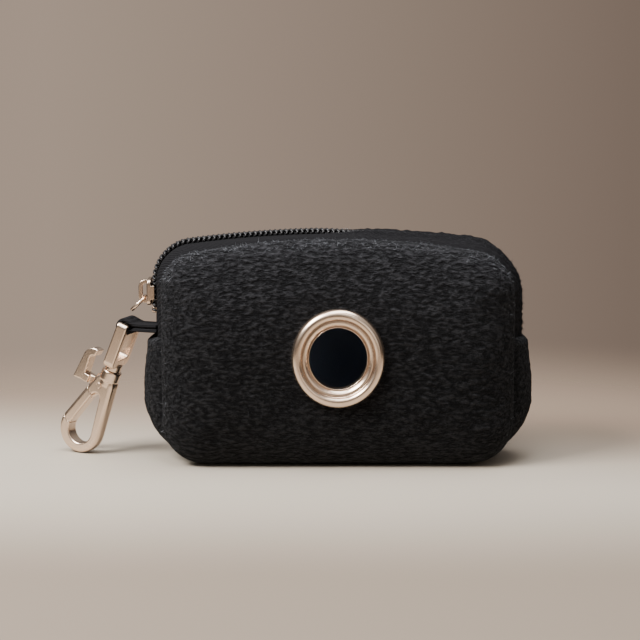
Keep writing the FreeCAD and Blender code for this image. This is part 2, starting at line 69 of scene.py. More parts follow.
# ---- sewn shape ---------------------------------------------------------------
EDGE_REACH = 25 * MM        # how far in from the seam a panel keeps rising
EDGE_POWER = 2.35           # power of the superellipse that it rises by
CLOTH_INSET = 1.6 * MM      # cloth's seam line inside the panel's edge
SWELL = 6.3 * MM            # padded gusset past the seam line, at the sides
SWELL_BASE = 0.4 * MM       # the same under the pouch
FOLD_IN = 1.1 * MM          # gusset's edges inside the seam line
LINING_TUCK = 1.7 * MM      # panel linings inside the cloth
STRIP_TUCK = 1.75 * MM      # gusset lining inside the seam line
HOLE_GAP = 1.4 * MM         # cloth's hole outside the eyelet's bore, hidden by the rim
POLE = 0.4 * MM             # last ring of a panel without a hole

# ---- zip and webbing -------------------------------------------------------------
COIL_PITCH = 1.6 * MM
COIL_WIRE = 0.34 * MM       # radius of the nylon
COIL_MIDDLE = 1.12 * MM     # middle of one coil from the middle of the chain
COIL_REACH = 1.42 * MM      # half width of the helix
COIL_RISE = 0.66 * MM       # half height of the helix
COIL_LIFT = 0.72 * MM       # helix above the chain's line
COIL_SINK = 0.9 * MM        # how much lower it lies under the fold
COIL_SPREAD = 1.45 * MM     # how far the coils part inside the slider
FACING_EDGE = 0.9 * MM      # inner edge of a facing from the middle of the chain
FOLD_SPAN = (-8 * MM, 12 * MM)  # across the width, where the facing rises to cover the coil
FOLD_RISE = 1.2 * MM        # crest of the fold above the facing
FOLD_Y = 3.1 * MM           # crest of the fold from the middle of the chain
FOLD_WIDTH = 1.5 * MM
WEB_HALF = 3.5 * MM         # half width of the webbing
WEB_WALL = 1.1 * MM
RIB_HEIGHT = 0.1 * MM
RIB_SPACING = 1.24 * MM

# ---- eyelet ----------------------------------------------------------------------
OVAL = 1.07                 # the pressed eyelet is a little taller than wide
BAND_CREASE = 3.35 * MM     # crease between band and funnel, in from the rim
LIP_CREASE = 0.42 * MM      # crease round the lip, out from the bore


# ---- meshes from arrays ---------------------------------------------------------
def make_mesh(name, points, faces, uv=None):
    """Object from an (n, 3) array of points and an (m, 4) or (m, 3) array of corners."""
    mesh = bpy.data.meshes.new(name)
    corners = faces if isinstance(faces, list) else faces.tolist()
    mesh.from_pydata(points.reshape(-1, 3).tolist(), [], corners)
    if uv is not None:
        layer = mesh.uv_layers.new(name="surface")
        layer.data.foreach_set("uv", uv.reshape(-1, 2)[faces.ravel()].ravel().astype(np.float32))
    mesh.polygons.foreach_set("use_smooth", np.ones(len(mesh.polygons), dtype=bool))
    mesh.update()
    piece = bpy.data.objects.new(name, mesh)
    bpy.context.scene.collection.objects.link(piece)
    return piece


def grid_faces(rows, columns, closed_rows=False, closed_columns=False):
    """Corners of the quads of a rows by columns grid, wrapped where it is closed."""
    i = np.arange(rows if closed_rows else rows - 1)
    j = np.arange(columns if closed_columns else columns - 1)
    i, j = np.meshgrid(i, j, indexing="ij")
    i_next = (i + 1) % rows
    j_next = (j + 1) % columns
    corners = [i * columns + j, i_next * columns + j, i_next * columns + j_next, i * columns + j_next]
    return np.stack([c.ravel() for c in corners], axis=1)


def grid_piece(name, points, closed_rows=False, closed_columns=False, flip=False):
    """Object from a (rows, columns, 3) array of points, with a UV map in row and column share."""
    rows, columns = points.shape[:2]
    faces = grid_faces(rows, columns, closed_rows, closed_columns)
    if flip:
        faces = faces[:, ::-1]
    u, v = np.meshgrid(np.linspace(0, 1, rows), np.linspace(0, 1, columns), indexing="ij")
    return make_mesh(name, points, faces, np.stack([u, v], axis=-1))


def thicken(piece, wall):
    """Gives a sheet a wall on its inner side."""
    solid = piece.modifiers.new("wall", "SOLIDIFY")
    solid.thickness = wall
    solid.offset = -1
    return piece


# ---- noise in arrays ------------------------------------------------------------
LATTICE = 32
lattice = np.random.default_rng(7).random((LATTICE, LATTICE, LATTICE))


def noise(points, cell, seed=0):
    """Smooth noise from -1 to 1: eased three-way blend between the corners of a lattice cell."""
    scaled = points / cell + 17.3 * seed
    low = np.floor(scaled).astype(int)
    part = scaled - low
    ease = part * part * (3 - 2 * part)
    total = np.zeros(points.shape[:-1])
    for corner in np.ndindex(2, 2, 2):
        index = (low + corner) % LATTICE
        share = np.prod(np.where(np.array(corner) == 1, ease, 1 - ease), axis=-1)
        total += share * lattice[index[..., 0], index[..., 1], index[..., 2]]
    return 2 * total - 1


def nubs(points):
    """Pebbly relief of the outer cloth from -1 to 1: short slanting ribs and a broader mottle."""
    slant = math.radians(-20)
    along = points[..., 0] * math.cos(slant) + points[..., 2] * math.sin(slant)
    over = points[..., 2] * math.cos(slant) - points[..., 0] * math.sin(slant)
    turned = np.stack([along * 0.42, points[..., 1] * 0.8, over], axis=-1)
    wander = 0.9 * MM * noise(points, 6 * MM, 11)
    turned[..., 2] += wander
    return 0.72 * noise(turned, 0.95 * MM, 1) + 0.28 * noise(points, 2.4 * MM, 2)


def eased(value, low, high):
    """0 below low, 1 above high, smooth between."""
    part = np.clip((value - low) / (high - low), 0, 1)
    return part * part * (3 - 2 * part)


# ---- seam lines -----------------------------------------------------------------
class Seam:
    """Closed line round the pouch: flat base, straight sides, round corners, arched top.

    The two upper corners have radii of their own, because the zip is drawn tight at its closed, left end.
    """

    def __init__(self, half, arch, corner_left, corner_right, corner_base, base=0.5 * MM):
        self.half, self.arch, self.base = half, arch, base
        self.shoulder = seam_top - arch
        self.corner_left, self.corner_right, self.corner_base = corner_left, corner_right, corner_base
        self.middle = 0.5 * self.shoulder
        self.table = self.trace(6000)

    def lift(self, x, z):
        """Rise of the arched top: a parabola across the width that fades to nothing at mid height."""
        high = np.clip((z - self.middle) / (self.shoulder - self.middle), 0, 1)
        return self.arch * (1 - np.clip(x / self.half, -1, 1) ** 2) * high ** 2

    def trace(self, count):
        """Points, outward normals and distances along the line, from the base's middle to the right."""
        half, low, high, r_base = self.half, self.base, self.shoulder, self.corner_base
        arc = np.linspace(0, math.pi / 2, 60)

        def side(r_top):
            return np.concatenate([
                np.stack([np.linspace(0, half - r_base, 90), np.full(90, low)], axis=1),
                np.stack([half - r_base + r_base * np.sin(arc), low + r_base * (1 - np.cos(arc))], axis=1),
                np.stack([np.full(60, half), np.linspace(low + r_base, high - r_top, 60)], axis=1),
                np.stack([half - r_top + r_top * np.cos(arc), high - r_top + r_top * np.sin(arc)], axis=1),
                np.stack([np.linspace(half - r_top, 0, 90), np.full(90, high)], axis=1)])

        line = np.concatenate([side(self.corner_right), (side(self.corner_left) * [-1, 1])[::-1]])
        line[:, 1] += self.lift(line[:, 0], line[:, 1])
        line = line[np.concatenate([[True], np.linalg.norm(np.diff(line, axis=0), axis=1) > 1e-9])]
        distance = np.concatenate([[0], np.cumsum(np.linalg.norm(np.diff(line, axis=0), axis=1))])
        even = np.linspace(0, distance[-1], count, endpoint=False)
        points = np.stack([np.interp(even, distance, line[:, k]) for k in range(2)], axis=1)
        tangent = np.roll(points, -1, axis=0) - np.roll(points, 1, axis=0)
        tangent /= np.linalg.norm(tangent, axis=1, keepdims=True)
        self.length = float(distance[-1])
        return points, np.stack([tangent[:, 1], -tangent[:, 0]], axis=1), even

    def run(self, count, start, end, closed=False):
        """Evenly spaced points, normals and distances between two shares of the line's length."""
        share = np.linspace(start, end, count, endpoint=not closed)
        here = (share % 1.0) * self.length
        points, normal, even = self.table
        even = np.append(even, self.length)

        def at(values):
            wrapped = np.concatenate([values, values[:1]])
            return np.stack([np.interp(here, even, wrapped[:, k]) for k in range(2)], axis=1)

        facing = at(normal)
        return at(points), facing / np.linalg.norm(facing, axis=1, keepdims=True), share * self.length

    def share_at(self, height):
        """Share of the length from the base's middle to a height on the right side."""
        points, _, even = self.table
        side = (points[:, 0] > 0.9 * self.half) & (points[:, 1] < self.shoulder - self.corner_right)
        return float(np.interp(height, points[side, 1], even[side])) / self.length

    def depth(self, x, z):
        """Distance from a point to the line: that of a box with round corners."""
        flat_z = z - self.lift(x, z)
        upper = np.where(x > 0, self.corner_right, self.corner_left)
        corner = np.where(flat_z > self.middle, upper, self.corner_base)
        qx = np.abs(x) - (self.half - corner)
        qz = np.abs(flat_z - self.middle) - (self.middle - corner)
        return corner - np.hypot(np.maximum(qx, 0), np.maximum(qz, 0)) - np.minimum(np.maximum(qx, qz), 0)


cloth_seam = Seam(seam_half - CLOTH_INSET, arch=6.2 * MM, corner_left=9.5 * MM, corner_right=11.5 * MM,
                  corner_base=13.2 * MM)
chain_line = Seam(seam_half, arch=4.6 * MM, corner_left=9.8 * MM, corner_right=14.5 * MM, corner_base=14 * MM)


# ---- outer cloth ----------------------------------------------------------------
def panel_points(hand, hole, rows, columns, tuck=0.0, relief=True):
    """A panel of cloth from its seam to a ring round its middle.

    Rays run from the seam line to the ring. Depth rises from the seam like a quarter of a
    superellipse over EDGE_REACH, with soft hollows, seam puckers and the cloth's own relief.
    """
    edge, normal, along = cloth_seam.run(rows, 0.0, 1.0, closed=True)
    edge = edge - normal * tuck
    angle = np.arctan2(edge[:, 1] - eyelet_z, edge[:, 0])
    ring = hole * np.stack([np.cos(angle), OVAL * np.sin(angle)], axis=1) + [0, eyelet_z]
    share = (np.linspace(0, 1, columns) ** 1.4)[None, :, None]
    flat = edge[:, None, :] * (1 - share) + ring[:, None, :] * share
    x, z = flat[..., 0], flat[..., 1]
    inside = cloth_seam.depth(x, z)
    inside = np.clip((inside - inside[:, :1]) / EDGE_REACH, 0, 1)
    rise = (1 - (1 - inside) ** EDGE_POWER) ** (1 / EDGE_POWER)
    points = np.stack([x, np.zeros_like(x), z], axis=-1)
    from_eyelet = np.hypot(x, (z - eyelet_z) / OVAL)
    near_ring = eased(from_eyelet, eyelet_rim + 8 * MM, eyelet_rim) if hole > MM else 0.0
    hollow = 0.6 * MM * noise(points * [1, 1, 1.3], 19 * MM, 3 + hand)
    hollow = hollow * np.clip(inside * 3, 0, 1) * (1 - near_ring)
    pucker = np.cos(along / (3.4 * MM) + 2.2 * np.sin(along / (17 * MM)))[:, None]
    pucker = 0.2 * MM * pucker * np.exp(-inside * 7) * np.clip(inside * 40, 0, 1)
    depth = (panel_depth - tuck) * rise + hollow + pucker
    if relief:
        patches = eased(noise(points, 14 * MM, 9), -0.5, 0.6)
        coarse = 0.17 + 0.19 * patches - 0.1 * eased(z, 50 * MM, 68 * MM)
        depth = depth + coarse * MM * nubs(points) * np.clip(inside * 14, 0, 1) * (1 - 0.85 * near_ring)
    groove = 1.0 * MM * np.exp(-(depth / (1.2 * MM)) ** 2)
    points[..., 0] -= normal[:, 0, None] * groove
    points[..., 2] -= normal[:, 1, None] * groove
    points[..., 1] = hand * (seam_y + depth)
    points[..., 2] = np.maximum(points[..., 2], 0.05 * MM)
    return points


def panel(name, hand, hole, rows=1000, columns=98, tuck=0.0, relief=True):
    """Panel piece; without a hole its last ring is closed on its mean point."""
    points = panel_points(hand, hole, rows, columns, tuck, relief)
    faces = grid_faces(rows, columns, closed_rows=True).tolist()
    flat = points.reshape(-1, 3)
    if hole < MM:
        last = np.arange(rows) * columns + columns - 1
        fan = np.stack([last, np.roll(last, -1), np.full(rows, rows * columns)], axis=1)
        flat = np.concatenate([flat, points[:, -1].mean(axis=0)[None]])
        faces += fan.tolist()
    if hand > 0:
        faces = [corners[::-1] for corners in faces]
    return make_mesh(name, flat, faces)


gusset_share = cloth_seam.share_at(zip_end)


def offset_points(line, normal, out, y):
    """Points at a distance out from a line of the pouch's outline, at depths y."""
    x = line[:, 0, None] + normal[:, 0, None] * (out + 0 * y)
    z = line[:, 1, None] + normal[:, 1, None] * (out + 0 * y)
    return np.stack([x, y + 0 * x, z], axis=-1)


def bottom_gusset():
    """Padded strip: crowned across, flat on the floor, rolled under at its two folded ends."""
    y = seam_y * np.sin(np.linspace(-math.pi / 2, math.pi / 2, 71))[None]
    line, normal, along = cloth_seam.run(900, -gusset_share, gusset_share)
    crown = np.clip(1 - np.abs(y / seam_y) ** 2.6, 0, 1) ** 0.62
    to_end = gusset_share * cloth_seam.length - np.abs(along)[:, None]
    rolled = np.sqrt(1 - (1 - np.clip(to_end / (2.4 * MM), 0, 1)) ** 2)
    firm = 0.78 + 0.22 * eased(to_end, 0, 15 * MM)
    swell = SWELL_BASE + (SWELL - SWELL_BASE) * eased(line[:, 1], 2 * MM, 19 * MM)[:, None] * firm
    out = -FOLD_IN + (swell + FOLD_IN) * crown * rolled
    points = offset_points(line, normal, out, y)
    fade = np.clip(1 - np.abs(y / seam_y) ** 6, 0, 1)
    out = out + fade * (0.18 * MM * nubs(points) + 0.35 * MM * noise(points, 15 * MM, 6))
    points = offset_points(line, normal, out, y)
    points[..., 2] = np.maximum(points[..., 2], 0.02 * MM)
    return grid_piece("bottom_gusset_cloth", points, flip=True)


def pillow(name, low, high, power=0.4, rings=17, turns=36):
    """Rounded block between two corners: a superellipsoid, closed at its poles."""
    low, high = np.array(low), np.array(high)
    turn = np.linspace(0, TURN, turns, endpoint=False)[None, :]
    rise = np.linspace(-math.pi / 2, math.pi / 2, rings + 2)[1:-1, None]

    def soft(value):
        return np.sign(value) * np.abs(value) ** power

    around = np.stack([soft(np.cos(rise)) * soft(np.cos(turn)), soft(np.cos(rise)) * soft(np.sin(turn)),
                       soft(np.sin(rise)) + 0 * turn], axis=-1)
    points = np.concatenate([around.reshape(-1, 3), [[0, 0, -1.0], [0, 0, 1.0]]])
    faces = grid_faces(rings, turns, closed_columns=True)[:, ::-1].tolist()
    lowest = np.arange(turns)
    highest = lowest + (rings - 1) * turns
    low_pole, high_pole = np.full(turns, rings * turns), np.full(turns, rings * turns + 1)
    faces += np.stack([low_pole, np.roll(lowest, -1), lowest], axis=1).tolist()
    faces += np.stack([high_pole, highest, np.roll(highest, -1)], axis=1).tolist()
    return make_mesh(name, (low + high) / 2 + points * (high - low) / 2, faces)


def seam_binding(name, hand):
    """Binding over the seam allowance: a flat oval carried round the inside of the seam."""
    line, normal, _ = cloth_seam.run(320, 0, 1, closed=True)
    angle = np.linspace(0, TURN, 14, endpoint=False)[None]
    out = -2.9 * MM + 0.42 * MM * np.sin(angle)
    y = hand * seam_y + 0.95 * MM * np.cos(angle)
    return grid_piece(name, offset_points(line, normal, out, y), closed_rows=True, closed_columns=True)


def gusset_lining():
    """Flat strip of lining inside the gusset."""
    line, normal, _ = cloth_seam.run(200, -gusset_share, gusset_share)
    y = np.linspace(-seam_y, seam_y, 13)[None]
    points = offset_points(line, normal, np.full_like(y, -STRIP_TUCK), y)
    return grid_piece("gusset_lining_cloth", points, flip=True)


# ---- loose fibres ---------------------------------------------------------------
def surface_normals(points):
    """Unit normals of a grid from the cross product of its two gradients."""
    across = np.cross(np.gradient(points, axis=0), np.gradient(points, axis=1))
    return across / (np.linalg.norm(across, axis=-1, keepdims=True) + 1e-12)


def fibres(name, roots, heading, lengths, radius, seed):
    """Bent tapering hairs: each is a three-sided tube along root + heading t + bend t squared."""
    chance = np.random.default_rng(seed)
    count, steps, sides = len(roots), 3, 3
    heading = heading / np.linalg.norm(heading, axis=1, keepdims=True)
    bend = np.cross(heading, chance.normal(size=(count, 3)))
    bend /= np.linalg.norm(bend, axis=1, keepdims=True)
    t = np.linspace(0, 1, steps)[None, :, None]
    path = roots[:, None] + lengths[:, None, None] * (heading[:, None] * t + 0.55 * bend[:, None] * t ** 2)
    side = np.cross(heading, bend)
    angle = np.linspace(0, TURN, sides, endpoint=False)[None, None, :, None]
    ring = np.cos(angle) * bend[:, None, None] + np.sin(angle) * side[:, None, None]
    points = path[:, :, None] + radius * (1 - 0.75 * t)[..., None] * ring
    one = grid_faces(steps, sides, closed_columns=True)
    faces = (one[None] + (np.arange(count) * steps * sides)[:, None, None]).reshape(-1, 4)
    points[..., 2] = np.maximum(points[..., 2], 0.03 * MM)
    return make_mesh(name, points, faces)


def sown(points, weight, count, seed, lean):
    """Roots and headings on a grid, denser where the weight is; lean is how far they stand up."""
    chance = np.random.default_rng(seed)
    chosen = chance.choice(weight.size, size=count, p=(weight / weight.sum()).ravel())
    roots = points.reshape(-1, 3)[chosen]
    normal = surface_normals(points).reshape(-1, 3)[chosen]
    loose = chance.normal(size=(count, 3)) * [1.6, 0.6, 0.7]
    return roots - 0.05 * MM * normal, loose + lean * 2 * normal, chance


def grow(name, points, weight, count, seed, lean, lengths, radius, bend_seed):
    """Hairs sown over a grid, with lengths drawn evenly between two."""
    roots, heading, chance = sown(points, weight, count, seed, lean)
    return fibres(name, roots, heading, chance.uniform(*lengths, count) * MM, radius, bend_seed)


# ---- metal turned and cast ----------------------------------------------------
def smooth_profile(points, count):
    """Evenly spaced points of the smooth line through (radius, height) pairs (Catmull-Rom)."""
    points = np.array(points)
    ends = np.concatenate([2 * points[:1] - points[1:2], points, 2 * points[-1:] - points[-2:-1]])
    t = np.linspace(0, len(points) - 1 - 1e-9, count)
    i = t.astype(int)
    f = (t - i)[:, None]
    a, b, c, d = (ends[i + k] for k in range(4))
    square = (2 * a - 5 * b + 4 * c - d) * f ** 2
    cube = (3 * b - a - 3 * c + d) * f ** 3
    return 0.5 * (2 * b + (c - a) * f + square + cube)


def lathe(name, profile, turns=192):
    """Surface of revolution about the eyelet's axis, a little taller than wide; heights count outwards."""
    angle = np.linspace(0, TURN, turns, endpoint=False)[:, None]
    radius, height = profile[:, 0][None], profile[:, 1][None]
    points = np.stack([radius * np.cos(angle), panel_front - height + 0 * angle,
                       eyelet_z + OVAL * radius * np.sin(angle)], axis=-1)
    return grid_piece(name, points, closed_rows=True, closed_columns=True)


def eyelet_ring():
    """Pressed eyelet: broad rolled band, groove, funnel, lip and clinched barrel."""
    end = (panel_front - float(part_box("eyelet")[1][1])) / MM
    rim, lip = eyelet_rim / MM, bore / MM
    outer = smooth_profile([
        (rim - 1.1, -0.5), (rim - 0.25, -0.35), (rim, 0.2), (rim - 0.12, 0.95),
        (rim - 0.6, 1.75), (rim - 1.3, 2.25), (rim - 2.05, 2.35), (rim - 2.7, 2.0),
        (rim - 3.1, 1.4), (rim - BAND_CREASE / MM, 1.15), (rim - 3.65, 1.28), (rim - 4.05, 1.22),
        (rim - 4.5, 0.9), (rim - 4.85, 0.5), (lip + LIP_CREASE / MM, 0.28), (lip + 0.25, 0.5),
        (lip + 0.1, 0.48), (lip, 0.15)], 170)
    barrel = np.array([
        (lip, -1.0), (lip, end + 0.25), (lip + 0.25, end), (lip + 1.7, end),
        (lip + 1.9, end + 0.3), (lip + 1.7, end + 0.55), (lip + 0.8, end + 0.6), (lip + 0.8, -0.4)])
    return lathe("eyelet_ring", np.concatenate([outer, barrel]) * MM)


def cast_copy(node, voxel, passes=9):
    """Soft-edged casting in the shape of a CAD node: its mesh joined, revoxelled and relaxed."""
    source = frame["nodes"][node]
    mesh = source.data.copy()
    piece = bpy.data.objects.new(node + "_metal", mesh)
    bpy.context.scene.collection.objects.link(piece)
    weld = piece.modifiers.new("weld", "WELD")
    weld.merge_threshold = 1e-6
    remesh = piece.modifiers.new("remesh", "REMESH")
    remesh.mode = "VOXEL"
    remesh.voxel_size = voxel
    remesh.use_smooth_shade = True
    relax = piece.modifiers.new("relax", "SMOOTH")
    relax.iterations = passes
    relax.factor = 0.5
    graph = bpy.context.evaluated_depsgraph_get()
    made = bpy.data.meshes.new_from_object(piece.evaluated_get(graph))
    piece.modifiers.clear()
    piece.data = made
    made.polygons.foreach_set("use_smooth", np.ones(len(made.polygons), dtype=bool))
    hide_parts(node)
    return piece


# ---- zip ------------------------------------------------------------------------
def zip_coil(name, hand):
    """One nylon coil: a flattened helix along the chain's line, parted in the slider, sunk under the fold."""
    start = chain_line.share_at(float(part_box("zip_bottom_stop")[1][2]))
    end = 1 - chain_line.share_at(zip_stop)
    turns = (end - start) * chain_line.length / COIL_PITCH
    line, normal, along = chain_line.run(int(turns * 18), start, end)
    phase = (along - along[0]) / COIL_PITCH * TURN + (0 if hand < 0 else math.pi)
    spread = COIL_SPREAD * eased(along, along[-1] - 9.5 * MM, along[-1] - 3.5 * MM)
    y = hand * (COIL_MIDDLE - COIL_REACH * np.cos(phase) + spread)
    sunk = COIL_SINK * eased(line[:, 0], *FOLD_SPAN)
    out = COIL_LIFT - sunk + COIL_RISE * np.sin(phase)
    path = np.stack([line[:, 0] + normal[:, 0] * out, y, line[:, 1] + normal[:, 1] * out], axis=1)
    points, faces = tube(path, COIL_WIRE * (1 + 0.35 * np.clip(np.cos(phase), 0, 1)), 7)
    return make_mesh(name, points, faces)


def tube(path, radius, sides):
    """Points and faces of a round tube along a path, with its frame carried from ring to ring."""
    tangent = np.gradient(path, axis=0)
    tangent /= np.linalg.norm(tangent, axis=1, keepdims=True)
    helper = np.where(np.abs(tangent[:, 1:2]) < 0.8, np.array([[0.0, 1.0, 0.0]]), np.array([[1.0, 0.0, 0.0]]))
    side = np.cross(tangent, helper)
    side /= np.linalg.norm(side, axis=1, keepdims=True)
    up = np.cross(side, tangent)
    angle = np.linspace(0, TURN, sides, endpoint=False)[None, :, None]
    radius = np.broadcast_to(np.asarray(radius, dtype=float), (len(path),))[:, None, None]
    points = path[:, None] + radius * (np.cos(angle) * side[:, None] + np.sin(angle) * up[:, None])
    faces = grid_faces(len(path), sides, closed_columns=True)
    return points, faces[:, ::-1]


def tape_points(hand, rows=900, columns=40):
    """Points of a facing from the seam to the chain, and how far it is folded up over the coil, 0 to 1."""
    y = np.linspace(seam_y, FACING_EDGE, columns)[None]
    end = zip_end - 1.5 * MM
    first = cloth_seam.share_at(end)
    line, normal, _ = cloth_seam.run(rows, first, 1 - first)
    first = chain_line.share_at(end)
    chain, _, _ = chain_line.run(rows, first, 1 - first)
    part = (seam_y - y) / (seam_y - FACING_EDGE)
    blend = eased(part, 0.0, 0.62)[..., None]
    raised = eased(chain[:, 0, None], *FOLD_SPAN)
    ridge = (0.1 * MM + FOLD_RISE * raised) * np.exp(-((y - FOLD_Y) / FOLD_WIDTH) ** 2)
    out = ridge - 1.2 * MM * np.exp(-part * 9)
    flat = line[:, None] * (1 - blend) + chain[:, None] * blend + normal[:, None] * out[..., None]
    points = np.empty((rows, columns, 3))
    points[..., 0], points[..., 2], points[..., 1] = flat[..., 0], flat[..., 1], hand * y
    relief = (0.06 + 0.3 * raised) * MM * nubs(points * 1.3) * eased(y, 1.6 * MM, 2.6 * MM)
    points[..., 0] += normal[:, 0, None] * relief
    points[..., 2] += normal[:, 1, None] * relief
    return points, raised


def zip_tape(name, hand):
    """Facing with its thickness."""
    return thicken(grid_piece(name, tape_points(hand)[0], flip=hand < 0), 0.5 * MM)


# ---- webbing --------------------------------------------------------------------
def side_loop():
    """Ribbed webbing folded round the crossbar and run back into the zip's end."""
    joint = joints["clasp_swing"]
    centre = np.array(joint["pos_m"])
    axis = np.array(joint["axis"])
    low, high = (np.array(corner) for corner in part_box("side_loop"))
    radius = (high[2] - low[2]) / 2 - 0.65 * MM
    out = np.cross(axis, [0, 0, 1])
    out = out / np.linalg.norm(out)
    if out[0] > 0:
        out = -out
    root = (centre[0] + seam_half - 1.0 * MM) / out[0]
    straight = np.linspace(-root, 0, 40)[:-1]
    arc = np.linspace(0, math.pi, 48)
    forward = np.concatenate([-np.abs(straight), radius * np.sin(arc), -np.abs(straight[::-1])])
    height = np.concatenate([np.full(39, radius), radius * np.cos(arc), np.full(39, -radius)])
    pinch = 1 - 0.74 * eased(-forward, -1 * MM, 4 * MM)
    across = np.linspace(-WEB_HALF, WEB_HALF, 43)
    rib = RIB_HEIGHT * np.abs(np.sin(across / RIB_SPACING * math.pi))
    turn_out = np.gradient(forward)
    turn_up = np.gradient(height * pinch)
    size = np.hypot(turn_out, turn_up)
    facing_out, facing_up = -turn_up / size, turn_out / size
    lift = (rib + WEB_WALL / 2)[None, :]
    along_out = forward[:, None] + facing_out[:, None] * lift
    along_up = (height * pinch)[:, None] + facing_up[:, None] * lift
    points = centre + along_out[..., None] * out + across[None, :, None] * axis
    points[..., 2] += along_up
    return thicken(grid_piece("side_loop_webbing", points, flip=True), WEB_WALL)


# ---- shader maths ---------------------------------------------------------------
class Value:
    """A number socket of a material, with arithmetic that adds Math nodes."""

    def __init__(self, finish, socket):
        self.finish = finish
        self.socket = socket

    def math(self, operation, *others):
        inputs = {0: self}
        for place, other in enumerate(others, start=1):
            inputs[place] = other
        return self.finish.node("ShaderNodeMath", {"operation": operation}, inputs)[0]

    def __add__(self, other):
        return self.math("ADD", other)

    def __sub__(self, other):
        return self.math("SUBTRACT", other)

    def __rsub__(self, other):
        return self.math("MULTIPLY", -1.0) + other

    def __mul__(self, other):
        return self.math("MULTIPLY", other)

    __radd__ = __add__


class Made:
    """A node of a material; its outputs by name or place."""

    def __init__(self, finish, node):
        self.finish = finish
        self.made = node

    def __getitem__(self, output):
        return Value(self.finish, self.made.outputs[output])


class Finish:
    """A material under construction, with its Principled shader and object coordinates."""

    def __init__(self, name, **constants):
        self.material = bpy.data.materials.new(name)
        self.material.use_nodes = True
        self.tree = self.material.node_tree
        self.shader = self.tree.nodes["Principled BSDF"]
        for socket, value in constants.items():
            self.shader.inputs[socket.replace("_", " ")].default_value = value
        self.place = self.node("ShaderNodeTexCoord", {}, {})["Object"]

    def node(self, kind, settings, inputs):
        """Adds a node: its settings first, then numbers or links into its sockets."""
        node = self.tree.nodes.new(kind)
        for setting, value in settings.items():
            setattr(node, setting, value)
        for socket, value in inputs.items():
            if isinstance(value, Value):
                self.tree.links.new(value.socket, node.inputs[socket])
            else:
                node.inputs[socket].default_value = value
        return Made(self, node)

    def scaled(self, scale, turn=(0.0, 0.0, 0.0)):
        """Object coordinates, turned and then scaled, per metre."""
        return self.node("ShaderNodeMapping", {}, {"Vector": self.place, "Rotation": turn, "Scale": scale})[0]

    def noise(self, vector, scale, detail=2.0, roughness=0.5):
        """Soft noise, 0 to 1."""
        inputs = {"Vector": vector, "Scale": scale, "Detail": detail, "Roughness": roughness}
        return self.node("ShaderNodeTexNoise", {}, inputs)[0]

    def pebbles(self, vector):
        """Distance to the nearest of many scattered points, rounded between them."""
        inputs = {"Vector": vector, "Scale": 1.0}
        return self.node("ShaderNodeTexVoronoi", {"feature": "SMOOTH_F1"}, inputs)["Distance"]

    def weave(self, direction, scale, **distortion):
        """Bands across the cloth, a little wavy."""
        settings = {"wave_type": "BANDS", "bands_direction": direction}
        inputs = {"Vector": self.place, "Scale": scale, **distortion}
        return self.node("ShaderNodeTexWave", settings, inputs)["Fac"]

    def along(self, axis):
        """Object coordinate along one axis."""
        return self.node("ShaderNodeSeparateXYZ", {}, {"Vector": self.place})[axis]

    def vector(self, operation, *inputs):
        """Vector Math node."""
        return self.node("ShaderNodeVectorMath", {"operation": operation}, dict(enumerate(inputs)))

    def distance(self, centre, shares=(1.0, 1.0, 1.0)):
        """Distance from a centre, with each axis counted by its share."""
        from_centre = self.vector("SUBTRACT", self.place, centre)[0]
        return self.vector("LENGTH", self.vector("MULTIPLY", from_centre, shares)[0])["Value"]

    def ease(self, value, low, high):
        """0 below low, 1 above high, smooth between."""
        inputs = {"Value": value, "From Min": low, "From Max": high}
        return self.node("ShaderNodeMapRange", {"interpolation_type": "SMOOTHSTEP"}, inputs)[0]

    def mix(self, share, first, second):
        """Colour between two colours."""
        node = self.tree.nodes.new("ShaderNodeMix")
        node.data_type = "RGBA"
        for place, value in ((0, share), (6, first), (7, second)):
            if isinstance(value, Value):
                self.tree.links.new(value.socket, node.inputs[place])
            else:
                node.inputs[place].default_value = value if place == 0 else (*value, 1.0)
        return Value(self, node.outputs[2])

    def feed(self, **sockets):
        for socket, value in sockets.items():
            self.tree.links.new(value.socket, self.shader.inputs[socket.replace("_", " ")])

    def relief(self, height, distance, strength=1.0):
        bump = self.node("ShaderNodeBump", {}, {"Height": height, "Distance": distance, "Strength": strength})
        self.feed(Normal=bump[0])
        return self.material


def outer_cloth():
    """Charcoal nubbly cloth: short slanting ribs, loose fibres and a cool mottle, with painted shade in the
    relief's valleys and painted light making its upper part lighter.
    """
    finish = Finish("outer_cloth", Roughness=0.95, Sheen_Weight=0.05, Sheen_Roughness=0.5,
                    Sheen_Tint=(0.8, 0.82, 0.88, 1.0), Specular_IOR_Level=0.07)
    slanted = finish.scaled((430.0, 850.0, 1050.0), (0.0, math.radians(-20), 0.0))
    ribs = finish.noise(slanted, 1.0, 3.0, 0.6)
    pebbles = finish.pebbles(finish.scaled((620.0, 1000.0, 1000.0)))
    strands = finish.noise(finish.scaled((2300.0, 5200.0, 5200.0), (0.0, 0.4, 0.0)), 1.0, 2.0, 0.6)
    mottle = finish.noise(finish.place, 85.0, 3.0)
    height = ribs * 0.62 + (1 - pebbles) * 0.24 + strands * 0.16
    crest = finish.ease(height, 0.46, 0.68)
    fibre = finish.ease(strands, 0.55, 0.8) * finish.ease(mottle, 0.3, 0.65)
    # painted light: the cloth's colours grow lighter from 26 mm to 66 mm up, where the top light falls
    upper = finish.ease(finish.along("Z"), 26 * MM, 66 * MM)
    # painted shade: near-black colour in the valleys of the relief, a little less dark towards the top
    painted_valley_shade = finish.mix(upper, (0.0004, 0.0004, 0.0005), (0.0050, 0.0050, 0.0057))
    base = finish.mix(crest, painted_valley_shade, finish.mix(upper, (0.0150, 0.0146, 0.0155), (0.0290, 0.0290, 0.0325)))
    base = finish.mix(fibre * 0.4, base, (0.06, 0.064, 0.076))
    finish.feed(Base_Color=base, Roughness=0.98 - crest * 0.1)
    return finish.relief(height, 4.0 * MM, 1.0)


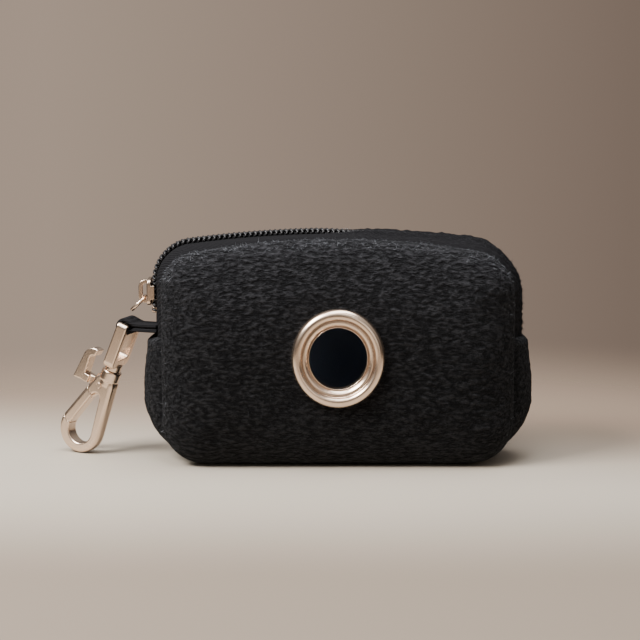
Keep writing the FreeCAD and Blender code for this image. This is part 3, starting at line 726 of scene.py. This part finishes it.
def loose_fibre(name, dark, light):
    """Fine hairs, some paler than others."""
    finish = Finish(name, Roughness=0.8, Specular_IOR_Level=0.3)
    shade = finish.noise(finish.place, 700.0, 1.0)
    finish.feed(Base_Color=finish.mix(finish.ease(shade, 0.35, 0.7), dark, light))
    return finish.relief(shade, 0.02 * MM, 0.3)


def woven_tape():
    """Black zip tape: fine herringbone ribs along it."""
    finish = Finish("woven_tape", Roughness=0.95, Specular_IOR_Level=0.08)
    weave = finish.weave("DIAGONAL", 480.0, Distortion=3.0, Detail=2.0)
    grain = finish.noise(finish.place, 1900.0, 2.0)
    height = weave * 0.6 + grain * 0.4
    finish.feed(Base_Color=finish.mix(height, (0.003, 0.003, 0.0035), (0.0115, 0.0112, 0.0125)))
    return finish.relief(height, 0.25 * MM, 0.8)


def webbing_cloth():
    """Black ribbed webbing."""
    finish = Finish("webbing_cloth", Roughness=0.9, Specular_IOR_Level=0.1)
    grain = finish.noise(finish.place, 2400.0, 2.0)
    weave = finish.weave("Z", 420.0, Distortion=2.0)
    height = weave * 0.6 + grain * 0.4
    finish.feed(Base_Color=finish.mix(height, (0.0035, 0.0035, 0.004), (0.014, 0.0135, 0.015)))
    return finish.relief(height, 0.2 * MM, 0.8)


def lining_cloth():
    """Blue-black plain woven lining."""
    finish = Finish("lining_cloth", Roughness=0.8, Specular_IOR_Level=0.2)
    grain = finish.noise(finish.scaled((2600.0, 2600.0, 5200.0)), 1.0, 2.0)
    finish.feed(Base_Color=finish.mix(grain, (0.12, 0.155, 0.24), (0.26, 0.32, 0.45)))
    return finish.relief(grain, 0.1 * MM, 0.6)


def nylon():
    """Black moulded nylon of the zip coil."""
    finish = Finish("nylon_coil", Roughness=0.42, Specular_IOR_Level=0.5)
    grain = finish.noise(finish.place, 1500.0, 2.0)
    base = finish.mix(grain, (0.007, 0.007, 0.008), (0.017, 0.016, 0.017))
    finish.feed(Base_Color=base, Roughness=0.34 + grain * 0.2)
    return finish.relief(grain, 0.05 * MM, 0.5)


def pale_gold(name="pale_gold", creases=()):
    """Satin pale gold plate: faint clouding and fine polish lines, with painted shade darkening the eyelet's
    creases.
    """
    finish = Finish(name, Metallic=1.0, Roughness=0.26)
    cloud = finish.noise(finish.place, 230.0, 3.0)
    polish = finish.noise(finish.scaled((900.0, 900.0, 4200.0)), 1.0, 2.0)
    base = finish.mix(finish.ease(cloud, 0.3, 0.75), (0.77, 0.60, 0.465), (0.80, 0.63, 0.495))
    if creases:
        radius = finish.distance((0.0, 0.0, eyelet_z), (1.0, 0.0, 1 / OVAL))
        for crease, width in creases:
            # painted shade: a dark brown line of colour along each crease, where shade falls
            shade = 1 - finish.ease((radius - crease).math("ABSOLUTE"), 0.0, width)
            base = finish.mix(shade * 0.7, base, (0.24, 0.165, 0.12))
    finish.feed(Base_Color=base, Roughness=0.22 + cloud * 0.05 + polish * 0.03)
    return finish.relief(polish * 0.4 + cloud * 0.6, 0.01 * MM, 0.04)


def spring_steel():
    """Bare bright spring steel."""
    finish = Finish("spring_steel", Metallic=1.0, Roughness=0.35)
    grain = finish.noise(finish.scaled((3000.0, 400.0, 400.0)), 1.0, 2.0)
    base = finish.mix(grain, (0.42, 0.41, 0.39), (0.6, 0.59, 0.57))
    finish.feed(Base_Color=base, Roughness=0.28 + grain * 0.15)
    return finish.relief(grain, 0.02 * MM, 0.4)


def dress(piece, material):
    """Gives a piece one material."""
    piece.data.materials.clear()
    piece.data.materials.append(material)
    return piece


# ---- put together -----------------------------------------------------------------
def put(piece, material, body, slot, *nodes):
    """Dresses a piece, rides it on a body and lets it stand for CAD nodes."""
    dress(piece, material)
    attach(piece, body)
    if nodes:
        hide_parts(*nodes)
    return piece


cloth = outer_cloth()
tape = woven_tape()
web = webbing_cloth()
inside_cloth = lining_cloth()
black_nylon = nylon()
gold = pale_gold()
# the eyelet's band and lip creases get painted shade
eyelet_gold = pale_gold("eyelet_gold", ((eyelet_rim - BAND_CREASE, 0.34 * MM), (bore + LIP_CREASE, 0.2 * MM)))
steel = spring_steel()
black_hair = loose_fibre("black_fibre", (0.006, 0.006, 0.007), (0.042, 0.042, 0.048))
dark_hair = loose_fibre("dark_fibre", (0.008, 0.008, 0.009), (0.04, 0.04, 0.045))
# painted highlight: pale fibre colour for the hairs that gather along the top edges
painted_highlight_hair = loose_fibre("pale_fibre", (0.10, 0.108, 0.125), (0.30, 0.315, 0.35))


SIDES = ((-1, "front", bore + HOLE_GAP), (1, "back", POLE))


def sewn_body():
    """Panels, gusset, linings and bindings."""
    for hand, side, hole in SIDES:
        piece = panel(side + "_panel_cloth", hand, hole)
        put(piece, cloth, "pouch", "outer_fabric", side + "_panel")
    put(bottom_gusset(), cloth, "pouch", "outer_fabric", "bottom_gusset")
    for hand, side, hole in SIDES:
        piece = panel(side + "_lining_cloth", hand, hole, rows=200, columns=30, tuck=LINING_TUCK,
                      relief=False)
        put(piece, inside_cloth, "pouch", "inner_lining", side + "_lining")
    put(gusset_lining(), inside_cloth, "pouch", "inner_lining", "gusset_lining")
    for hand, side, _ in SIDES:
        piece = seam_binding("seam_binding_%s_tape" % side, hand)
        put(piece, tape, "pouch", "zip_textile", "seam_binding_" + side)


def hairs():
    """Dark hairs over both panels, pale ones along their top edges whose pale colour is a painted highlight, black
    ones on the folded facings.
    """
    for hand, side, _ in SIDES:
        points = panel_points(hand, bore + 6 * MM, 500, 60)
        over_rows, over_columns = np.gradient(points, axis=(0, 1))
        spacing = np.linalg.norm(over_rows, axis=-1) * np.linalg.norm(over_columns, axis=-1)
        from_eyelet = np.hypot(points[..., 0], points[..., 2] - eyelet_z)
        away = eased(from_eyelet, eyelet_rim, eyelet_rim + 3 * MM)
        piece = grow("panel_hairs_" + side, points, spacing * away, 7000, seed=21 + hand, lean=hand * 0.28,
                     lengths=(0.7, 1.5), radius=0.035 * MM, bend_seed=5)
        put(piece, dark_hair, "pouch", "outer_fabric")
        # painted highlight: pale hairs along the seam, most of them on the top edges where the light catches the
        # fuzz
        depth = cloth_seam.depth(points[..., 0], points[..., 2])
        rim = np.exp(-((depth - 1.6 * MM) / (1.3 * MM)) ** 2)
        rim = rim * (0.05 + eased(points[..., 2], 56 * MM, 62 * MM)) * spacing
        piece = grow("rim_hairs_" + side, points, rim, 2600, seed=31 + hand, lean=hand * 0.3,
                     lengths=(0.6, 1.6), radius=0.04 * MM, bend_seed=6)
        put(piece, painted_highlight_hair, "pouch", "outer_fabric")
        points, raised = tape_points(hand)
        fold = raised * np.exp(-((np.abs(points[..., 1]) - 3.3 * MM) / (2 * MM)) ** 2)
        piece = grow("facing_hairs_" + side, points, fold, 5000, seed=41 + hand, lean=hand * -0.9,
                     lengths=(0.4, 1.0), radius=0.05 * MM, bend_seed=7)
        put(piece, black_hair, "pouch", "zip_textile")


def zip_pieces():
    """Facings, coils, end tabs and stops."""
    for hand, side, _ in SIDES:
        put(zip_tape("zip_tape_%s_cloth" % side, hand), tape, "pouch", "zip_textile", "zip_tape_" + side)
        put(zip_coil("zip_coil_%s_nylon" % side, hand), black_nylon, "pouch", "zip_coil", "zip_coil_" + side)
    for node in ("zip_top_stop_front", "zip_top_stop_back", "zip_bottom_stop"):
        put(pillow(node + "_metal", *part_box(node)), gold, "pouch", "pale_gold", node)
    for node in ("zip_end_tab_left", "zip_end_tab_right"):
        put(pillow(node + "_cloth", *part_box(node), 0.3), tape, "pouch", "outer_fabric", node)


CASTINGS = (("slider_body", "slider", 0.10 * MM), ("slider_bail", "slider", 0.07 * MM),
            ("pull_ring", "pull_ring", 0.06 * MM), ("swivel_eye", "clasp_eye", 0.10 * MM),
            ("hook_body", "hook", 0.12 * MM), ("gate", "gate", 0.10 * MM), ("gate_pin", "hook", 0.05 * MM))


def metal_pieces():
    """Eyelet, slider, ring and clasp."""
    put(eyelet_ring(), eyelet_gold, "pouch", "pale_gold", "eyelet")
    dress(frame["nodes"]["eyelet_washer"], gold)
    for node, body, voxel in CASTINGS:
        put(cast_copy(node, voxel), gold, body, "pale_gold")
    dress(frame["nodes"]["gate_spring"], steel)


sewn_body()
hairs()
zip_pieces()
put(side_loop(), web, "pouch", "webbing", "side_loop")
metal_pieces()


# ---- floor, light and camera ------------------------------------------------------
def floor():
    """Round pale floor with a pool of light in front, whose rim fades out into the backdrop."""
    middle = -0.1
    reach = np.linspace(0, 0.62, 32)[:, None]
    turn = np.linspace(0, TURN, 96, endpoint=False)[None, :]
    x, y = reach * np.cos(turn), middle + reach * np.sin(turn)
    points = np.stack(np.broadcast_arrays(x, y, -0.05 * MM), axis=-1)
    piece = grid_piece("floor", points, closed_columns=True)
    finish = Finish("floor_paint", Roughness=0.6, Specular_IOR_Level=0.25)
    across, back = finish.along("X"), finish.along("Y")
    grain = finish.noise(finish.place, 5.0, 1.0)
    # painted light: a brighter pool of colour round the pouch, darker towards the camera
    pool = finish.ease(back + grain * 0.03, -0.12, -0.02)
    near = finish.mix(pool, (0.209, 0.168, 0.131), (0.385, 0.34, 0.28))
    # painted shade: the floor's colour darkens to brown behind the pouch and sooner to its right
    far = finish.ease(back + across * 0.3 + grain * 0.04, -0.01, 0.10)
    rim = finish.ease(finish.distance((0.0, middle, 0.0)), 0.16, 0.34)
    finish.feed(Base_Color=finish.mix(far, near, (0.225, 0.166, 0.123)), Roughness=0.55 + grain * 0.1,
                Alpha=1 - rim)
    dress(piece, finish.material)


def softbox(name, place, target, width, height, power, colour=(1.0, 1.0, 1.0)):
    """Rectangular area light aimed at a point."""
    light = bpy.data.lights.new(name, "AREA")
    light.shape = "RECTANGLE"
    light.size, light.size_y = width, height
    light.energy = power
    light.color = colour
    lamp = bpy.data.objects.new(name, light)
    lamp.location = place
    lamp.rotation_euler = (Vector(target) - Vector(place)).to_track_quat("-Z", "Y").to_euler()
    bpy.context.scene.collection.objects.link(lamp)


def studio():
    """Soft room, bright above and dim at eye level, with a warm grey backdrop, a key light and a low fill."""
    world = bpy.data.worlds.new("room")
    world.use_nodes = True
    tree = world.node_tree

    def add(kind, links, **settings):
        node = tree.nodes.new(kind)
        for setting, value in settings.items():
            setattr(node, setting, value)
        for socket, source in links.items():
            tree.links.new(source, node.inputs[socket])
        return node

    def ramp(source, *stops):
        node = add("ShaderNodeValToRGB", {0: source})
        for element, (position, colour) in zip(node.color_ramp.elements, stops):
            element.position = position
            element.color = (*colour, 1.0)
        return node.outputs[0]

    part = add("ShaderNodeSeparateXYZ", {0: add("ShaderNodeTexCoord", {}).outputs["Generated"]})
    sideways = add("ShaderNodeMath", {0: part.outputs["X"]}, operation="ADD")
    sideways.inputs[1].default_value = 0.5
    light = ramp(part.outputs["Z"], (0.04, (0.045, 0.035, 0.029)), (0.75, (0.50, 0.47, 0.45)))
    # painted shade: the backdrop seen by the camera is painted darker towards the right
    backdrop = ramp(sideways.outputs[0], (0.36, (0.42, 0.322, 0.255)), (0.66, (0.205, 0.152, 0.119)))
    camera_ray = add("ShaderNodeLightPath", {}).outputs["Is Camera Ray"]
    seen = add("ShaderNodeMix", {0: camera_ray, 6: light, 7: backdrop}, data_type="RGBA")
    tree.links.new(seen.outputs[2], tree.nodes["Background"].inputs["Color"])
    bpy.context.scene.world = world
    softbox("key", (-0.46, -0.27, 0.58), (0, 0, 0.03), 0.32, 0.32, 14.0, (1.0, 0.98, 0.96))
    softbox("top", (0.05, -0.06, 0.75), (0, 0, 0.03), 0.6, 0.3, 6.5, (0.97, 0.98, 1.0))
    softbox("card", (-0.04, -0.42, 0.60), (0, 0, 0.035), 0.7, 0.26, 1.1, (1.0, 0.98, 0.95))
    softbox("fill", (0.35, -0.75, 0.2), (0, 0, 0.03), 0.4, 0.4, 0.6, (1.0, 0.94, 0.88))


def camera():
    """Long lens from the front, a little above the object."""
    rise = math.radians(9.0)
    reach = 0.60
    aim = Vector((-0.0055, 0.0, 0.0435))
    lens = bpy.data.cameras.new("view")
    lens.lens = 108.0
    lens.clip_start = 0.01
    view = bpy.data.objects.new("view", lens)
    view.location = aim + reach * Vector((0.0, -math.cos(rise), math.sin(rise)))
    view.rotation_euler = (aim - view.location).to_track_quat("-Z", "Y").to_euler()
    bpy.context.scene.collection.objects.link(view)
    bpy.context.scene.camera = view


floor()
studio()
camera()
